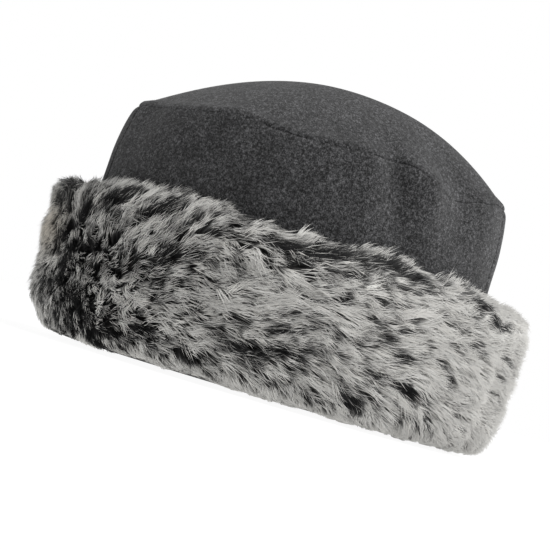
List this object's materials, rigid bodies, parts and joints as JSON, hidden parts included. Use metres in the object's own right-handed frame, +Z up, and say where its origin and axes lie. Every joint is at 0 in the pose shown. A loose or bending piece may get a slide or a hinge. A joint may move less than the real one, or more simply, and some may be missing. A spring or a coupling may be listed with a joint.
{
  "type": "fleece hat with a fur cuff",
  "caption": "Soft winter hat: a domed oval crown of wool fleece with a deep turned-up cuff of thick frosted fur.",
  "frame": {"origin": "on the ground under the middle of the cuff", "axes": "+Z up out of the crown; X along the oval's length, with +X at the end that the pile runs to in front; the front panels face -Y"},
  "size_m": [0.2516, 0.226, 0.1585],
  "materials": {
    "fleece": "charcoal heathered wool fleece, short matt nap",
    "fur": "deep frosted fur pile, dark at the root and pale at the tip"
  },
  "bodies": {
    "root": {"crown_tip": "fleece", "crown_front_panel": "fleece", "crown_back_panel": "fleece", "cuff_front_fur": "fur", "cuff_back_fur": "fur"}
  },
  "joints": []
}
